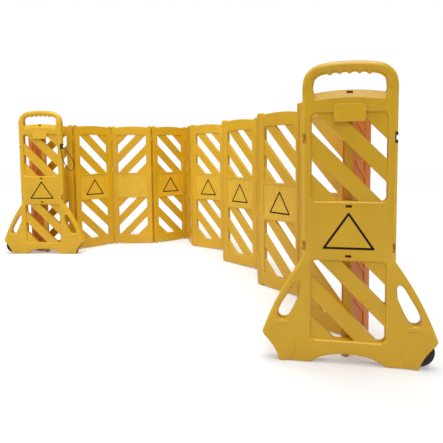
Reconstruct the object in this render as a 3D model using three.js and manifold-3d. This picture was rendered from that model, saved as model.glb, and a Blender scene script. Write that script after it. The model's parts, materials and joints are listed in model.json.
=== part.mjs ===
// Folding crowd control barrier: two end stands, two half links and twelve panels on fifteen hinges.
// Millimetres, +Z up. The near stand faces -Y and the run goes back and to the left from it.
import * as THREE from "three";
import { mergeVertices } from "three/addons/utils/BufferGeometryUtils.js";
import Module from "manifold-3d";

const wasm = await Module();
wasm.setup();

// Driving sizes
const STAND_H = 1016; // floor to the top of the handle
const PITCH = 304.8; // hinge axis to hinge axis over one panel
const PANELS = 12; // full panels between the two half links
const PANEL_T = 24; // panel depth
const STAND_T = 44; // end stand depth
const PANEL_H = STAND_H - 96; // panel height, ear to ear
const MID = PANEL_H / 2; // height of the middle of every centre band
const RUN_GAP = 0.3; // clearance round a turning or seated piece
const FOLD_GAP = 1.4; // air between two panels folded face to face

// Rest turn at each hinge in degrees, from the far stand to the near one; anticlockwise is positive
const TURNS = [159, -158, 47.5, -46.5, 40, -117, 42.5, -55.5, 43.5, -44, 41, -51, 55.5, -89.5, 124.5];

// Hinges
const PIN_R = 2.5;
const BARREL_R = 5;
const BARREL_L = 44;
const PIN_INSET = 8; // pin end to panel end
const HINGE_OFF = (PANEL_T + FOLD_GAP) / 2; // hinge axis to the panel's middle plane
const PANEL_END = BARREL_R + 0.8; // hinge axis to the panel's end face
const KNUCKLE_OUT = 0.402; // outer and inner knuckles, as shares of the panel height from its middle
const KNUCKLE_IN = 0.13;
const ARM_T = 4;

// Windows and their diagonal bars, the same in panels and stands
const BAR_W = 53;
const MID_GAP = 54;
const END_GAP = 47;
const CORNER_R = 16;

// Panels
const POST_W = 40; // hinge axis to window
const PANEL_BAND = 194;
const PANEL_RAIL = 69; // top and bottom rails at the posts
const EAR_W = 25;
const EAR_DROP = 10; // ear top to the start of the arch
const PANEL_RECESS = 4;
const BAND_RECESS = 3; // shallow pocket over the centre band
const BAND_RIM = 9; // thin rail above and below it
const RIB_T = 3; // raised ribs of the closed link panels
const RIB_W = 14;

// End stands
const HALF_BODY = PITCH / 2;
const SIDE_W = 30.4; // side post width
const HALF_WIN = HALF_BODY - SIDE_W;
const BAR_TOP = STAND_H - 95; // crown of the top bar
const WIN_TOP = STAND_H - 169;
const BAND_HIGH = MID + 96;
const BAND_LOW = MID - 106;
const WIN_LOW = 82;
const POST_TOP = STAND_H - 86; // where the handle tube leaves the posts
const CROWN = 10; // rise of the top bar to its middle
const BEVEL_H = 26; // sloped face along the top bar
const BEVEL_T = 13;
const STAND_RECESS = 8;
const ARCH_H = 34; // clear height under the middle
const FOOT_IN = 124; // inner end of each foot's flat
const FOOT_OUT = 230; // outer end of each foot's flat
const TOE = HALF_BODY + 138; // outermost point of a foot
const TOE_Z = 95;
const HANDLE_R = 18.5;
const GRIP_RIDGES = 5;
const RIDGE_PITCH = 31.5;
const RIDGE_R = 5;

// Snap windows down the middle of the stand and the hinge rail behind them
const SNAP_Z = [31, BAND_LOW + 18, BAND_HIGH - 17, BAR_TOP - 8];
const SNAP_W = 20;
const SNAP_H = 9;
const SNAP_REACH = 4; // how far each tab stops short of the stand's middle plane
const RAIL_W = 26;
const RAIL_T = 6;
const RAIL_LOW = 22;
const RAIL_AXIS = STAND_T / 2 + 14; // stand middle plane to hinge axis

// Badge plate, left bare
const BADGE_W = 101;
const BADGE_H = 59;
const BADGE_T = 5;
const BADGE_DROP = 30; // how far it hangs over the window

// Wheels
const WHEEL_X = HALF_BODY + 78.6;
const WHEEL_Z = 57;
const WHEEL_R = 50;
const WHEEL_T = 22;
const HUB_R = 34;
const AXLE_R = 5;
const AXLE_L = 35;
const WELL_GAP = 3; // round the wheel in its well
const BOSS_R = 60;
const BOSS_T = 2;

// Hook pockets in the front outer edges, and the clip that holds the elastic loop
const POCKET = { x: 12, y: 15, z: 32 };
const TONGUE = { x: 4, y: 11, z: 13 };
const POCKET_HIGH = STAND_H - 252;
const POCKET_LOW = MID - 55;
const CLIP = { x: 9.5, y: 38, z: 36 };
const CLIP_MOUTH = { x: 5, z: 15 };
const CORD_R = 2.5;
const CORD_HOLE = 1; // clearance round each cord end
const CORD_SPREAD = 12.75; // each cord end to the clip's middle
const CORD_STEPS = 40;
const CORD_SIDES = 8;
// Loop centreline from the middle of the clip: outwards, back and up
const FAR_LOOP = [
  [0, -12, CORD_SPREAD],
  [0, -16.5, CORD_SPREAD],
  [0, -21, CORD_SPREAD],
  [0.5, -28.5, 8],
  [1.5, -32, -2],
  [3, -31, -16],
  [6, -27, -42],
  [9, -20, -70],
  [12, -8, -100],
  [17, 6, -128],
  [25, 19, -152],
  [36, 31, -170],
  [49, 40, -172],
  [60, 46, -158],
  [64, 48, -138],
  [61, 46, -112],
  [50, 43, -84],
  [34, 39, -60],
  [21, 35.5, -36],
  [12, 33.5, -22.5],
  [4.2, 29.5, -15],
  [0, 20.5, -CORD_SPREAD],
  [0, 16.5, -CORD_SPREAD],
  [0, 12, -CORD_SPREAD],
];
const NEAR_LOOP = [
  [0, 12, CORD_SPREAD],
  [0, 16.5, CORD_SPREAD],
  [0, 20.5, CORD_SPREAD],
  [-1.5, 28, 8.5],
  [-4.5, 32, 0],
  [-8, 33, -10],
  [-12, 32.5, -24],
  [-16, 31, -46],
  [-19, 29, -80],
  [-21, 28, -120],
  [-22, 27.5, -170],
  [-22, 27.5, -180],
  [-20.5, 27.5, -186.5],
  [-16.5, 27.5, -191.2],
  [-10.5, 27.5, -193],
  [-4.5, 27.5, -191.2],
  [-0.5, 27.5, -186.5],
  [1, 27.5, -180],
  [1, 27.5, -170],
  [0.5, 28, -120],
  [0.5, 29, -80],
  [0.5, 31, -48],
  [0.3, 33, -38],
  [0, 32, -26],
  [0, 27.8, -16.6],
  [0, 20.5, -CORD_SPREAD],
  [0, 16.5, -CORD_SPREAD],
  [0, 12, -CORD_SPREAD],
];

const YELLOW = { color: 0xe0a818, roughness: 0.45, metalness: 0 };
const BLACK = { color: 0x141414, roughness: 0.8, metalness: 0 };
const GREY = { color: 0x2b2b2d, roughness: 0.6, metalness: 0 };
const STEEL = { color: 0x9a9a9c, roughness: 0.35, metalness: 1 };

// Geometry to a manifold solid, and back
function solid(geometry) {
  const bare = geometry.clone();
  bare.deleteAttribute("normal");
  bare.deleteAttribute("uv");
  const merged = mergeVertices(bare, 1e-4);
  const mesh = new wasm.Mesh({
    numProp: 3,
    vertProperties: merged.attributes.position.array,
    triVerts: new Uint32Array(merged.index.array),
  });
  return new wasm.Manifold(mesh);
}

function geometryOf(body) {
  const mesh = body.getMesh();
  const geometry = new THREE.BufferGeometry();
  geometry.setAttribute("position", new THREE.BufferAttribute(mesh.vertProperties, 3));
  geometry.setIndex(new THREE.BufferAttribute(mesh.triVerts, 1));
  const flat = geometry.toNonIndexed();
  flat.computeVertexNormals();
  return flat;
}

function box(x0, x1, y0, y1, z0, z1) {
  const geometry = new THREE.BoxGeometry(x1 - x0, y1 - y0, z1 - z0);
  geometry.translate((x0 + x1) / 2, (y0 + y1) / 2, (z0 + z1) / 2);
  return solid(geometry);
}

// An upright cylinder
function post(x, y, z0, z1, radius, sides) {
  const geometry = new THREE.CylinderGeometry(radius, radius, z1 - z0, sides);
  geometry.rotateX(Math.PI / 2);
  geometry.translate(x, y, (z0 + z1) / 2);
  return solid(geometry);
}

// A cylinder lying along Y
function disc(x, z, y0, y1, radius, sides) {
  const geometry = new THREE.CylinderGeometry(radius, radius, y1 - y0, sides);
  geometry.translate(x, (y0 + y1) / 2, z);
  return solid(geometry);
}

// A front-view outline given as [x, z] points, with depth from y0 to y1
function slab(points, y0, y1) {
  const shape = new THREE.Shape(points.map(([x, z]) => new THREE.Vector2(x, z)));
  const geometry = new THREE.ExtrudeGeometry(shape, { depth: y1 - y0, bevelEnabled: false });
  geometry.rotateX(Math.PI / 2);
  geometry.translate(0, y1, 0);
  return solid(geometry);
}

// Points of a quadratic curve, without its first one
function bend(from, control, to, steps) {
  const [a, b, c] = [from, control, to].map(([x, z]) => new THREE.Vector2(x, z));
  const curve = new THREE.QuadraticBezierCurve(a, b, c);
  return curve.getPoints(steps).slice(1).map((p) => [p.x, p.y]);
}

// A half outline from the bottom middle to the top middle, completed by its mirror image
function mirrored(half) {
  const back = half.slice(1, -1).reverse().map(([x, z]) => [-x, z]);
  return [...half, ...back];
}

function roundedRect(x0, x1, z0, z1, r) {
  return [
    [x0 + r, z0],
    [x1 - r, z0],
    ...bend([x1 - r, z0], [x1, z0], [x1, z0 + r], 2),
    [x1, z1 - r],
    ...bend([x1, z1 - r], [x1, z1], [x1 - r, z1], 2),
    [x0 + r, z1],
    ...bend([x0 + r, z1], [x0, z1], [x0, z1 - r], 2),
    [x0, z0 + r],
    ...bend([x0, z0 + r], [x0, z0], [x0 + r, z0], 2),
  ];
}

// The three slanting gaps between the diagonal bars of one window; bars fall to the right
function gaps(x0, x1, z0, z1, depth) {
  const opening = slab(roundedRect(x0, x1, z0, z1, CORNER_R), -depth, depth);
  const reach = x1 - x0 + z1 - z0;
  const outer = MID_GAP / 2 + BAR_W;
  const bands = [
    [-outer - END_GAP, -outer],
    [-MID_GAP / 2, MID_GAP / 2],
    [outer, outer + END_GAP],
  ];
  return bands.map(([low, high]) => {
    const strip = new THREE.BoxGeometry(reach, 3 * depth, high - low);
    strip.translate(0, 0, (low + high) / 2);
    strip.rotateY(Math.PI / 4);
    strip.translate((x0 + x1) / 2, 0, (z0 + z1) / 2);
    return opening.intersect(solid(strip));
  });
}

// Shallow pockets on both faces, which leave the bars thinner than the frame
function recesses(x0, x1, z0, z1, thick, depth) {
  const outline = roundedRect(x0, x1, z0, z1, CORNER_R);
  const air = 1;
  return [
    slab(outline, -thick / 2 - air, -thick / 2 + depth),
    slab(outline, thick / 2 - depth, thick / 2 + air),
  ];
}

function cutAll(body, cutters) {
  return cutters.reduce((rest, cutter) => rest.subtract(cutter), body);
}

function joinAll(body, pieces) {
  return pieces.reduce((sum, piece) => sum.add(piece), body);
}

// The two knuckles of one edge on the axis at (x, y). Each has an arm from armX0 to armX1 and from
// armY0 to armY1. The outer pair lies near the ends of the pin and the inner pair between them.
function knuckles(x, y, outer, armX0, armX1, armY0, armY1) {
  const reach = (outer ? KNUCKLE_OUT : KNUCKLE_IN) * PANEL_H;
  return [MID - reach, MID + reach].map((z) => {
    const low = z - BARREL_L / 2;
    const high = z + BARREL_L / 2;
    const arm = box(armX0, armX1, armY0, armY1, low, high);
    const barrel = post(x, y, low, high, BARREL_R, 6).add(arm);
    const bore = (PIN_R + RUN_GAP) / Math.cos(Math.PI / 6);
    return barrel.subtract(post(x, y, low - 1, high + 1, bore, 6));
  });
}

// Panel outline: an ear at each corner and gently arched top and bottom edges
function panelOutline(width) {
  const half = (width - 2 * PANEL_END) / 2;
  const start = PANEL_H - EAR_DROP;
  const slope = EAR_DROP * 0.4;
  const rise = 2 * EAR_DROP - 3;
  const top = [
    [half, PANEL_H],
    [half - EAR_W + slope, PANEL_H],
    [half - EAR_W, start],
    ...bend([half - EAR_W, start], [0, start + rise], [EAR_W - half, start], 5),
    [EAR_W - half - slope, PANEL_H],
    [-half, PANEL_H],
  ];
  const bottom = top.map(([x, z]) => [x, PANEL_H - z]).reverse();
  return [...top, ...bottom].map(([x, z]) => [x + width / 2, z]);
}

// One panel of the given width. x runs between its hinge axes and the face at -y is its front.
function panelBody(width, closed) {
  const body = slab(panelOutline(width), -PANEL_T / 2, PANEL_T / 2);
  const x0 = POST_W;
  const x1 = width - POST_W;
  const half = PANEL_BAND / 2;
  const windows = [
    [x0, x1, PANEL_RAIL, MID - half],
    [x0, x1, MID + half, PANEL_H - PANEL_RAIL],
  ];
  const band = [x0 - 2, x1 + 2, MID - half + BAND_RIM, MID + half - BAND_RIM];
  const pockets = [
    ...windows.flatMap((w) => recesses(...w, PANEL_T, PANEL_RECESS)),
    ...recesses(...band, PANEL_T, BAND_RECESS),
  ];
  const holes = closed ? [] : windows.flatMap((w) => gaps(...w, PANEL_T));
  const frame = cutAll(body, [...pockets, ...holes]);
  const left = knuckles(0, HINGE_OFF, false, 0, PANEL_END + 1, PANEL_T / 2 - ARM_T, PANEL_T / 2);
  const right = knuckles(
    width, -HINGE_OFF, true, width - PANEL_END - 1, width, -PANEL_T / 2, ARM_T - PANEL_T / 2,
  );
  return joinAll(frame, [...left, ...right, ...(closed ? linkRibs(windows) : [])]);
}

// Slanting ribs on both faces of a closed link panel's windows
function linkRibs(windows) {
  const floor = PANEL_T / 2 - PANEL_RECESS;
  return windows.flatMap(([x0, x1, z0, z1]) => {
    const opening = slab(roundedRect(x0, x1, z0, z1, CORNER_R), -floor - RIB_T, floor + RIB_T);
    const step = (z1 - z0) / 4;
    return [-1.5, -0.5, 0.5, 1.5].map((k) => {
      const rib = new THREE.BoxGeometry(2 * (x1 - x0), PANEL_T, RIB_W);
      rib.rotateY(Math.PI / 4);
      rib.translate((x0 + x1) / 2, 0, (z0 + z1) / 2 + k * step);
      return opening.intersect(solid(rib));
    });
  });
}

function standOutline() {
  const inner = HALF_WIN - 6;
  const shoulder = BAR_TOP - CROWN;
  return mirrored([
    [0, ARCH_H],
    ...bend([0, ARCH_H], [FOOT_IN * 0.6, ARCH_H + 3], [FOOT_IN, 0], 5),
    [FOOT_OUT, 0],
    ...bend([FOOT_OUT, 0], [FOOT_OUT + 8, 42], [TOE - 4, TOE_Z - 5], 5),
    ...bend([TOE - 4, TOE_Z - 5], [TOE + 1, TOE_Z + 1], [TOE - 3, TOE_Z + 8], 2),
    ...bend([TOE - 3, TOE_Z + 8], [HALF_BODY + 86, MID - 222], [HALF_BODY, MID - 104], 6),
    [HALF_BODY, POST_TOP],
    [inner, POST_TOP],
    [inner, shoulder + 8],
    ...bend([inner, shoulder + 8], [inner, shoulder], [inner - 8, shoulder + 1], 2),
    ...bend([inner - 8, shoulder + 1], [inner / 2, BAR_TOP], [0, BAR_TOP], 4),
  ]);
}

// Long rounded opening between a side post and its brace, on the side given by sign
function braceSlot(sign) {
  const x = (offset) => sign * (HALF_BODY + offset);
  const points = [
    [x(5), MID - 189],
    [x(8), MID - 226],
    [x(33), MID - 282],
    [x(47), MID - 306],
    [x(56), MID - 313],
    [x(73), MID - 313],
    [x(82), MID - 305],
    [x(83), MID - 292],
    [x(72), MID - 264],
    [x(49), MID - 226],
    [x(31), MID - 195],
    [x(20), MID - 182],
    [x(10), MID - 180],
  ];
  return slab(sign > 0 ? points.reverse() : points, -STAND_T, STAND_T);
}

// Cutter for the sloped face along the front of the arched top bar
function topBevel() {
  const chord = HALF_WIN - 6;
  const radius = (chord * chord + CROWN * CROWN) / (2 * CROWN);
  const front = STAND_T / 2;
  const profile = [
    [radius - BEVEL_H, front],
    [radius + 6, front - BEVEL_T - 3],
    [radius + 6, front + 6],
    [radius - BEVEL_H, front + 6],
  ];
  const points = [...profile, profile[0]].map(([r, y]) => new THREE.Vector2(r, y));
  const ring = new THREE.LatheGeometry(points, 160);
  ring.rotateZ(Math.PI);
  ring.translate(0, 0, BAR_TOP - radius);
  const reach = box(-chord, chord, -STAND_T, 0, BAR_TOP - 60, BAR_TOP + 30);
  return solid(ring).intersect(reach);
}

// Round handle tube from post to post, with finger ridges under the grip
function handle() {
  const side = HALF_BODY - HANDLE_R;
  const top = STAND_H - HANDLE_R;
  const half = [
    [side, POST_TOP - 24],
    [side, POST_TOP + 6],
    [side - 10, top - 27],
    [side - 34, top - 10],
    [side - 76, top - 2],
  ];
  const points = [...half, [0, top], ...half.slice().reverse().map(([x, z]) => [-x, z])];
  const path = new THREE.CatmullRomCurve3(points.map(([x, z]) => new THREE.Vector3(x, 0, z)));
  const section = new THREE.Shape();
  section.absarc(0, 0, HANDLE_R, 0, 2 * Math.PI);
  const settings = { steps: 18, curveSegments: 6, extrudePath: path, bevelEnabled: false };
  const tube = solid(new THREE.ExtrudeGeometry(section, settings));
  const ridges = Array.from({ length: GRIP_RIDGES }, (_, i) => {
    const x = (i - (GRIP_RIDGES - 1) / 2) * RIDGE_PITCH;
    return disc(x, top - HANDLE_R - 1, -HANDLE_R * 0.6, HANDLE_R * 0.6, RIDGE_R, 6);
  });
  return joinAll(tube, ridges);
}

// Pocket in a front outer edge of a stand, open to the front and the side, with a tongue in its mouth
function hookPocket(sign, z) {
  const front = -STAND_T / 2;
  const wall = front + POCKET.y;
  const across = (near, far) => [sign * near, sign * far].sort((a, b) => a - b);
  const hollow = box(
    ...across(HALF_BODY - POCKET.x, HALF_BODY + 1), front - 1, wall, z - POCKET.z / 2, z + POCKET.z / 2,
  );
  const tongue = box(
    ...across(HALF_BODY - TONGUE.x, HALF_BODY), wall - TONGUE.y, wall, z - TONGUE.z / 2, z + TONGUE.z / 2,
  );
  return hollow.subtract(tongue);
}

function standBody() {
  const front = -STAND_T / 2;
  const back = STAND_T / 2;
  const upper = [-HALF_WIN, HALF_WIN, BAND_HIGH, WIN_TOP];
  const lower = [-HALF_WIN, HALF_WIN, WIN_LOW, BAND_LOW];
  const plate = slab(standOutline(), front, back);
  const reach = slab(standOutline(), front - BOSS_T, back + BOSS_T);
  const bosses = [-WHEEL_X, WHEEL_X].map((x) =>
    disc(x, WHEEL_Z, front - BOSS_T, back + BOSS_T, BOSS_R, 24).intersect(reach),
  );
  const body = joinAll(plate, [...bosses, handle()]);
  const well = WHEEL_T / 2 + WELL_GAP;
  const wells = [-WHEEL_X, WHEEL_X].flatMap((x) => [
    disc(x, WHEEL_Z, -well, well, WHEEL_R + WELL_GAP, 24),
    disc(x, WHEEL_Z, -AXLE_L / 2 - RUN_GAP, AXLE_L / 2 + RUN_GAP, AXLE_R + RUN_GAP, 12),
  ]);
  const snaps = SNAP_Z.map((z) =>
    box(-SNAP_W / 2, SNAP_W / 2, front - 1, back + 1, z - SNAP_H / 2, z + SNAP_H / 2),
  );
  const clipHalf = CLIP.z / 2 + RUN_GAP;
  const clipNotch = box(
    HALF_BODY - CLIP.x - RUN_GAP, HALF_BODY + 1, front - 1, back + 1,
    POCKET_HIGH - clipHalf, POCKET_HIGH + clipHalf,
  );
  return cutAll(body, [
    ...[upper, lower].flatMap((w) => recesses(...w, STAND_T, STAND_RECESS)),
    ...[upper, lower].flatMap((w) => gaps(...w, STAND_T)),
    braceSlot(1),
    braceSlot(-1),
    topBevel(),
    ...wells,
    ...snaps,
    hookPocket(-1, POCKET_HIGH),
    hookPocket(-1, POCKET_LOW),
    hookPocket(1, POCKET_LOW),
    clipNotch,
  ]);
}

// Hinge rail on the back of a stand, with tabs through the snap windows
function hingeRail(outer) {
  const y0 = STAND_T / 2 + RUN_GAP;
  const y1 = y0 + RAIL_T;
  const plate = box(-RAIL_W / 2, RAIL_W / 2, y0, y1, RAIL_LOW, BAR_TOP);
  const tabs = SNAP_Z.map((z) => {
    const w = SNAP_W / 2 - RUN_GAP;
    const h = SNAP_H / 2 - RUN_GAP;
    return box(-w, w, -SNAP_REACH, y0 + 1, z - h, z + h);
  });
  const arms = knuckles(0, RAIL_AXIS, outer, -ARM_T, ARM_T, y1 - 1, RAIL_AXIS);
  return joinAll(plate, [...tabs, ...arms]);
}

function badgePlate() {
  const z0 = WIN_TOP - BADGE_DROP;
  const z1 = z0 + BADGE_H;
  const w = BADGE_W / 2;
  const outline = mirrored([
    [0, z0],
    [w - 6, z0],
    ...bend([w - 6, z0], [w, z0], [w, z0 + 6], 3),
    [w + 2, z1 - 12],
    ...bend([w + 2, z1 - 12], [w + 1, z1 - 4], [w - 10, z1 - 2], 3),
    [0, z1 + 1],
  ]);
  const back = -STAND_T / 2 - RUN_GAP;
  return slab(outline, back - BADGE_T, back);
}

// A turned ring about the wheel axis, with its profile given as [radius, y] points
function turned(profile, sides) {
  const closed = [...profile, profile[0]].map(([r, y]) => new THREE.Vector2(r, y));
  return solid(new THREE.LatheGeometry(closed, sides));
}

function tyre() {
  const t = WHEEL_T / 2;
  const round = 6;
  return turned([
    [HUB_R + RUN_GAP, -t],
    [WHEEL_R - round, -t],
    [WHEEL_R, round - t],
    [WHEEL_R, t - round],
    [WHEEL_R - round, t],
    [HUB_R + RUN_GAP, t],
  ], 24);
}

function hub() {
  const t = WHEEL_T / 2 - 1;
  const web = 6;
  const boss = AXLE_R + 6;
  return turned([
    [AXLE_R + RUN_GAP, -t],
    [boss, -t],
    [boss, -web],
    [HUB_R, -web],
    [HUB_R, web],
    [boss, web],
    [boss, t],
    [AXLE_R + RUN_GAP, t],
  ], 24);
}

// C-shaped clip in the side of a stand, with a hole through each arm for a cord end
function cordAnchor() {
  const x0 = HALF_BODY - CLIP.x;
  const half = CLIP.z / 2;
  const body = box(x0, HALF_BODY, -CLIP.y / 2, CLIP.y / 2, POCKET_HIGH - half, POCKET_HIGH + half);
  const open = CLIP_MOUTH.z / 2;
  const mouth = box(
    HALF_BODY - CLIP_MOUTH.x, HALF_BODY + 1, -CLIP.y, CLIP.y, POCKET_HIGH - open, POCKET_HIGH + open,
  );
  const holes = [-CORD_SPREAD, CORD_SPREAD].map((dz) =>
    disc(x0 + CLIP.x / 2, POCKET_HIGH + dz, -CLIP.y, CLIP.y, CORD_R + CORD_HOLE, 12),
  );
  return cutAll(body, [mouth, ...holes]);
}

function bungee(loop) {
  const middle = HALF_BODY - CLIP.x / 2;
  const points = loop.map(([x, y, z]) => new THREE.Vector3(middle + x, y, POCKET_HIGH + z));
  const path = new THREE.CatmullRomCurve3(points);
  const section = new THREE.Shape();
  section.absarc(0, 0, CORD_R, 0, 2 * Math.PI);
  const settings = { steps: CORD_STEPS, curveSegments: CORD_SIDES / 2, extrudePath: path };
  return new THREE.ExtrudeGeometry(section, { ...settings, bevelEnabled: false });
}

function mesh(name, geometry, look) {
  const piece = new THREE.Mesh(geometry, new THREE.MeshStandardMaterial(look));
  piece.name = name;
  return piece;
}

// One end stand with everything that stays on it. x runs along its width and the front is at -y.
function endStand(side, wheelSign, railOuter) {
  const group = new THREE.Group();
  const wheel = new THREE.Group();
  wheel.position.set(wheelSign * WHEEL_X, 0, WHEEL_Z);
  wheel.add(mesh(`${side}_wheel_tyre`, geometryOf(tyre()), BLACK));
  wheel.add(mesh(`${side}_wheel_hub`, geometryOf(hub()), GREY));
  const axle = disc(0, 0, -AXLE_L / 2, AXLE_L / 2, AXLE_R, 12);
  wheel.add(mesh(`${side}_wheel_axle`, geometryOf(axle), STEEL));
  group.add(mesh(`${side}_end_stand`, standGeometry, YELLOW));
  group.add(mesh(`${side}_badge_plate`, geometryOf(badgePlate()), YELLOW));
  group.add(mesh(`${side}_hinge_rail`, geometryOf(hingeRail(railOuter)), YELLOW));
  group.add(mesh(`${side}_cord_anchor`, geometryOf(cordAnchor()), BLACK));
  group.add(wheel);
  return group;
}

function hingePin(index, x, y) {
  const name = `hinge_pin_${String(index + 1).padStart(2, "0")}`;
  const pin = post(0, 0, PIN_INSET, PANEL_H - PIN_INSET, PIN_R, 6);
  const piece = mesh(name, geometryOf(pin), STEEL);
  piece.position.set(x, y, 0);
  return piece;
}

const standGeometry = geometryOf(standBody());
const fullGeometry = geometryOf(panelBody(PITCH, false));
const linkGeometry = geometryOf(panelBody(PITCH / 2, true));

const layout = new THREE.Group();
const radians = TURNS.map((turn) => (turn * Math.PI) / 180);
let heading = -radians.reduce((sum, turn) => sum + turn, 0);
let x = -RAIL_AXIS * Math.sin(heading);
let y = RAIL_AXIS * Math.cos(heading);

const farStand = endStand("far", -1, true);
farStand.rotation.z = heading;
layout.add(farStand);
layout.add(hingePin(0, x, y));

// Every second piece is the same moulding turned end over end
for (let k = 0; k < PANELS + 2; k += 1) {
  const link = k === 0 || k === PANELS + 1;
  const width = link ? PITCH / 2 : PITCH;
  const flipped = k % 2 === 1;
  const side = flipped ? -1 : 1;
  heading += radians[k];
  x += side * HINGE_OFF * Math.sin(heading);
  y -= side * HINGE_OFF * Math.cos(heading);
  const place = new THREE.Group();
  place.position.set(x, y, 0);
  place.rotation.z = heading;
  const number = String(k).padStart(2, "0");
  const name = k === 0 ? "far_link_panel" : link ? "near_link_panel" : `panel_${number}`;
  const panel = mesh(name, link ? linkGeometry : fullGeometry, YELLOW);
  panel.rotation.x = flipped ? Math.PI : 0;
  panel.position.z = flipped ? PANEL_H : 0;
  place.add(panel);
  layout.add(place);
  x += width * Math.cos(heading) + side * HINGE_OFF * Math.sin(heading);
  y += width * Math.sin(heading) - side * HINGE_OFF * Math.cos(heading);
  layout.add(hingePin(k + 1, x, y));
}

const nearStand = endStand("near", 1, false);
nearStand.position.set(x, y - RAIL_AXIS, 0);
layout.add(nearStand);

// The origin is the middle of the whole barrier on the floor, leaving the elastic loops out
const extent = new THREE.Box3().setFromObject(layout, true);
const middle = extent.getCenter(new THREE.Vector3());
layout.position.set(-middle.x, -middle.y, -extent.min.z);
farStand.add(mesh("far_bungee_cord", bungee(FAR_LOOP), BLACK));
nearStand.add(mesh("near_bungee_cord", bungee(NEAR_LOOP), BLACK));

const barrier = new THREE.Group();
barrier.name = "crowd_control_barrier";
barrier.add(layout);

export default barrier;
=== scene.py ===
import json
from math import acos, asin, atan2, cos, hypot, pi, radians, sin, sqrt, tan

import bmesh
import bpy
from mathutils import Matrix, Vector
from mathutils.geometry import delaunay_2d_cdt


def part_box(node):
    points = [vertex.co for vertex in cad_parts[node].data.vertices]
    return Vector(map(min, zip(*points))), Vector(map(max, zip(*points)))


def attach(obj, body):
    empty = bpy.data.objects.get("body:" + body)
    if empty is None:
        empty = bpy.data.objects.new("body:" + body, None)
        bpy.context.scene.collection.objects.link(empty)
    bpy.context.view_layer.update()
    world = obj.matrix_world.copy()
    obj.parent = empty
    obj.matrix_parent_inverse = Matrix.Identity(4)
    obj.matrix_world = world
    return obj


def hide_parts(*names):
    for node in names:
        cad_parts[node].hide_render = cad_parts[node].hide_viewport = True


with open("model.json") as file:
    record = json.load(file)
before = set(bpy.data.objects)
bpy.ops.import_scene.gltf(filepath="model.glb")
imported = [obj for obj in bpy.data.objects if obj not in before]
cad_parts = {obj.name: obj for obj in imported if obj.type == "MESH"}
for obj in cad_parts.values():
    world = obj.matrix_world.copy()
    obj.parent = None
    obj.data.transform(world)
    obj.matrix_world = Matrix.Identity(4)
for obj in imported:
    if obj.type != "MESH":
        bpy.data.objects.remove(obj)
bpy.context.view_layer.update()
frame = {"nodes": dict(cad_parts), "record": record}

bl_info = {
    "name": "Folding crowd control barrier",
    "version": (1, 0, 0),
    "blender": (4, 5, 0),
    "location": "3D View > Sidebar > Barrier",
    "description": "Dresses the packed barrier: mouldings, hinges, wheels, loops, floor, lamps and camera",
    "category": "Add Mesh",
}

# Sizes that the mouldings share with the CAD, in metres
PITCH = 0.3048
PANEL_T = 0.024
PANEL_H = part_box("panel_07")[1].z
MID = PANEL_H / 2
STAND_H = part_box("near_end_stand")[1].z
STAND_T = 0.044
PANELS = 12
HINGE_OFF = 0.0127
PANEL_END = 0.0058
PANEL_GAP = 0.0026
KNUCKLE_OUT = 0.402 * PANEL_H
KNUCKLE_IN = 0.13 * PANEL_H
BARREL_R = 0.005
BARREL_L = 0.044
PIN_R = 0.0025
PIN_INSET = 0.008
CLEAR = 0.0003

BAR_W = 0.053
MID_GAP = 0.054
END_GAP = 0.047
CORNER_R = 0.016
POST_W = 0.040
PANEL_BAND = 0.194
PANEL_RAIL = 0.069
BAND_RIM = 0.009
EAR_W = 0.025
EAR_DROP = 0.010
PANEL_RECESS = 0.004
BAND_RECESS = 0.003
RIB_T = 0.003
RIB_W = 0.014

HALF_BODY = PITCH / 2
HALF_WIN = HALF_BODY - 0.0304
BAR_TOP = STAND_H - 0.095
WIN_TOP = STAND_H - 0.169
BAND_HIGH = MID + 0.096
BAND_LOW = MID - 0.106
WIN_LOW = 0.082
POST_TOP = STAND_H - 0.086
CROWN = 0.010
BEVEL_H = 0.026
BEVEL_T = 0.013
STAND_RECESS = 0.008
ARCH_H = 0.034
FOOT_IN = 0.124
FOOT_OUT = 0.230
TOE = HALF_BODY + 0.138
TOE_Z = 0.095
HANDLE_R = 0.0185
GRIP_RIDGES = 5
RIDGE_PITCH = 0.0315
SNAP_Z = (0.031, BAND_LOW + 0.018, BAND_HIGH - 0.017, BAR_TOP - 0.008)
SNAP_W = 0.020
SNAP_H = 0.009
RAIL_W = 0.026
RAIL_T = 0.006
RAIL_LOW = 0.022
RAIL_AXIS = STAND_T / 2 + 0.014
BADGE_W = 0.101
BADGE_H = 0.059
BADGE_T = 0.005
BADGE_DROP = 0.030
WHEEL_X = HALF_BODY + 0.0786
WHEEL_Z = 0.057
WHEEL_R = 0.050
WHEEL_T = 0.022
HUB_R = 0.034
AXLE_R = 0.005
WELL_GAP = 0.003
BOSS_R = 0.060
BOSS_T = 0.002
LEDGE = (0.191, 0.251, 0.129, 0.142)  # x and z limits of the ledge under a brace slot
POCKET_X, POCKET_Y, POCKET_Z = 0.012, 0.015, 0.032
POCKET_HIGH = STAND_H - 0.252
POCKET_LOW = MID - 0.055
HOOK_POCKETS = ((-1, POCKET_HIGH), (-1, POCKET_LOW), (1, POCKET_LOW))
TONGUE_H = 0.0065  # half the height of the tongue in a hook pocket
CLIP_X, CLIP_Z = 0.0095, 0.036
CORD_R = 0.0025
CORD_SPREAD = 0.01275

# Width, height and foot of the printed triangles, and the faces of the print either side of the surface
STAND_PRINT = (0.174, 0.126, 0.395)
PANEL_PRINT = (0.150, 0.119, 0.400)
INK_OUT, INK_IN = 0.00025, 0.0002

OVERLAP = 0.003  # how far a sunk face runs under the frame round it
SPILL = 0.0012  # how far the gaps between bars run past their window
PAST = 0.004  # how far a cutter stands out of the stand's faces
HEADING, TILT, ROLL = radians(11.1), radians(4.135), radians(-0.454)  # of the camera
SHIFT = (-0.031, -0.084)  # of the camera's picture, in widths
FLOOR_HALF, FLOOR_Y = 14.0, 2.0  # half the width of the floor, and where its middle lies

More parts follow.
